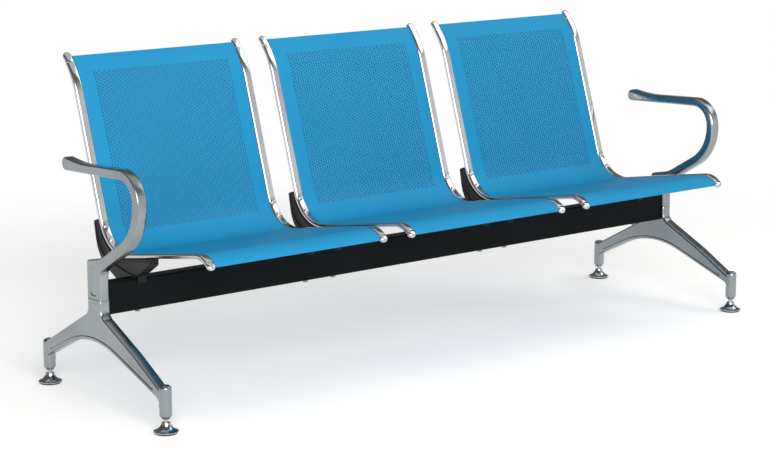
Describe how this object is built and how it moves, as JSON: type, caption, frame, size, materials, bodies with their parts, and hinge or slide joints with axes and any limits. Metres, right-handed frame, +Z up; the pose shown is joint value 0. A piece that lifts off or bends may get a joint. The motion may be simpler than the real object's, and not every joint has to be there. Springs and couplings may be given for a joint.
{
  "type": "beam seating bench",
  "caption": "Beam bench of bent perforated-steel seat shells on chromed side rails, with cast end legs, armrests and levelling feet.",
  "frame": {"origin": "on the floor, below the centre of the bench's bounding box", "axes": "+X along the beam, to the right as seen from the front; -Y is the front, where a sitter looks; +Z up"},
  "size_m": [1.905, 0.6318, 0.7959],
  "materials": {
    "beam_coat": "satin black coating",
    "bracket_coat": "semi-gloss black coating",
    "seat_coat": "satin blue coating",
    "rail_chrome": "bright plated",
    "plated_screws": "bright plated",
    "zinc_bolts": "zinc plated",
    "cast_metal": "polished casting",
    "bush_steel": "machined",
    "spindle_steel": "bright zinc",
    "foot_chrome": "bright plated",
    "pad_rubber": "matte"
  },
  "bodies": {
    "bench": {"beam": "beam_coat", "seat_panel_left": "seat_coat", "rail_left_left": "rail_chrome", "bracket_left_left": "bracket_coat", "rail_left_right": "rail_chrome", "bracket_left_right": "bracket_coat", "rail_caps_left": "rail_chrome", "rail_screws_left": "plated_screws", "beam_bolts_left": "zinc_bolts", "seat_panel_middle": "seat_coat", "rail_middle_left": "rail_chrome", "bracket_middle_left": "bracket_coat", "rail_middle_right": "rail_chrome", "bracket_middle_right": "bracket_coat", "rail_caps_middle": "rail_chrome", "rail_screws_middle": "plated_screws", "beam_bolts_middle": "zinc_bolts", "seat_panel_right": "seat_coat", "rail_right_left": "rail_chrome", "bracket_right_left": "bracket_coat", "rail_right_right": "rail_chrome", "bracket_right_right": "bracket_coat", "rail_caps_right": "rail_chrome", "rail_screws_right": "plated_screws", "beam_bolts_right": "zinc_bolts", "beam_washers": "zinc_bolts", "leg_left": "cast_metal", "armrest_left": "cast_metal", "spigot_screws_left": "zinc_bolts", "socket_bushes_left": "bush_steel", "leg_right": "cast_metal", "armrest_right": "cast_metal", "spigot_screws_right": "zinc_bolts", "socket_bushes_right": "bush_steel"},
    "foot_left_front": {"foot_base_left_front": "foot_chrome", "foot_pad_left_front": "pad_rubber"},
    "spindle_left_front": {"foot_spindle_left_front": "spindle_steel"},
    "foot_left_rear": {"foot_base_left_rear": "foot_chrome", "foot_pad_left_rear": "pad_rubber"},
    "spindle_left_rear": {"foot_spindle_left_rear": "spindle_steel"},
    "foot_right_front": {"foot_base_right_front": "foot_chrome", "foot_pad_right_front": "pad_rubber"},
    "spindle_right_front": {"foot_spindle_right_front": "spindle_steel"},
    "foot_right_rear": {"foot_base_right_rear": "foot_chrome", "foot_pad_right_rear": "pad_rubber"},
    "spindle_right_rear": {"foot_spindle_right_rear": "spindle_steel"}
  },
  "joints": [
    {"name": "foot_travel_left_front", "type": "slide", "parent": "bench", "child": "foot_left_front", "axis": [0, 0, -1], "range_m": [-0.008, 0.014]},
    {"name": "spindle_turn_left_front", "type": "hinge", "parent": "foot_left_front", "child": "spindle_left_front", "pos_m": [-0.924, -0.27225, 0.045], "axis": [0, 0, -1], "range_deg": [-1680, 2915]},
    {"name": "foot_travel_left_rear", "type": "slide", "parent": "bench", "child": "foot_left_rear", "axis": [0, 0, -1], "range_m": [-0.008, 0.014]},
    {"name": "spindle_turn_left_rear", "type": "hinge", "parent": "foot_left_rear", "child": "spindle_left_rear", "pos_m": [-0.924, 0.25275, 0.045], "axis": [0, 0, -1], "range_deg": [-1680, 2915]},
    {"name": "foot_travel_right_front", "type": "slide", "parent": "bench", "child": "foot_right_front", "axis": [0, 0, -1], "range_m": [-0.008, 0.014]},
    {"name": "spindle_turn_right_front", "type": "hinge", "parent": "foot_right_front", "child": "spindle_right_front", "pos_m": [0.924, -0.27225, 0.045], "axis": [0, 0, -1], "range_deg": [-1680, 2915]},
    {"name": "foot_travel_right_rear", "type": "slide", "parent": "bench", "child": "foot_right_rear", "axis": [0, 0, -1], "range_m": [-0.008, 0.014]},
    {"name": "spindle_turn_right_rear", "type": "hinge", "parent": "foot_right_rear", "child": "spindle_right_rear", "pos_m": [0.924, 0.25275, 0.045], "axis": [0, 0, -1], "range_deg": [-1680, 2915]}
  ],
  "couplings": [
    {"joint": "spindle_turn_left_front", "follows": "foot_travel_left_front", "rad_per_m": 3590.4},
    {"joint": "spindle_turn_left_rear", "follows": "foot_travel_left_rear", "rad_per_m": 3590.4},
    {"joint": "spindle_turn_right_front", "follows": "foot_travel_right_front", "rad_per_m": 3590.4},
    {"joint": "spindle_turn_right_rear", "follows": "foot_travel_right_rear", "rad_per_m": 3590.4}
  ]
}
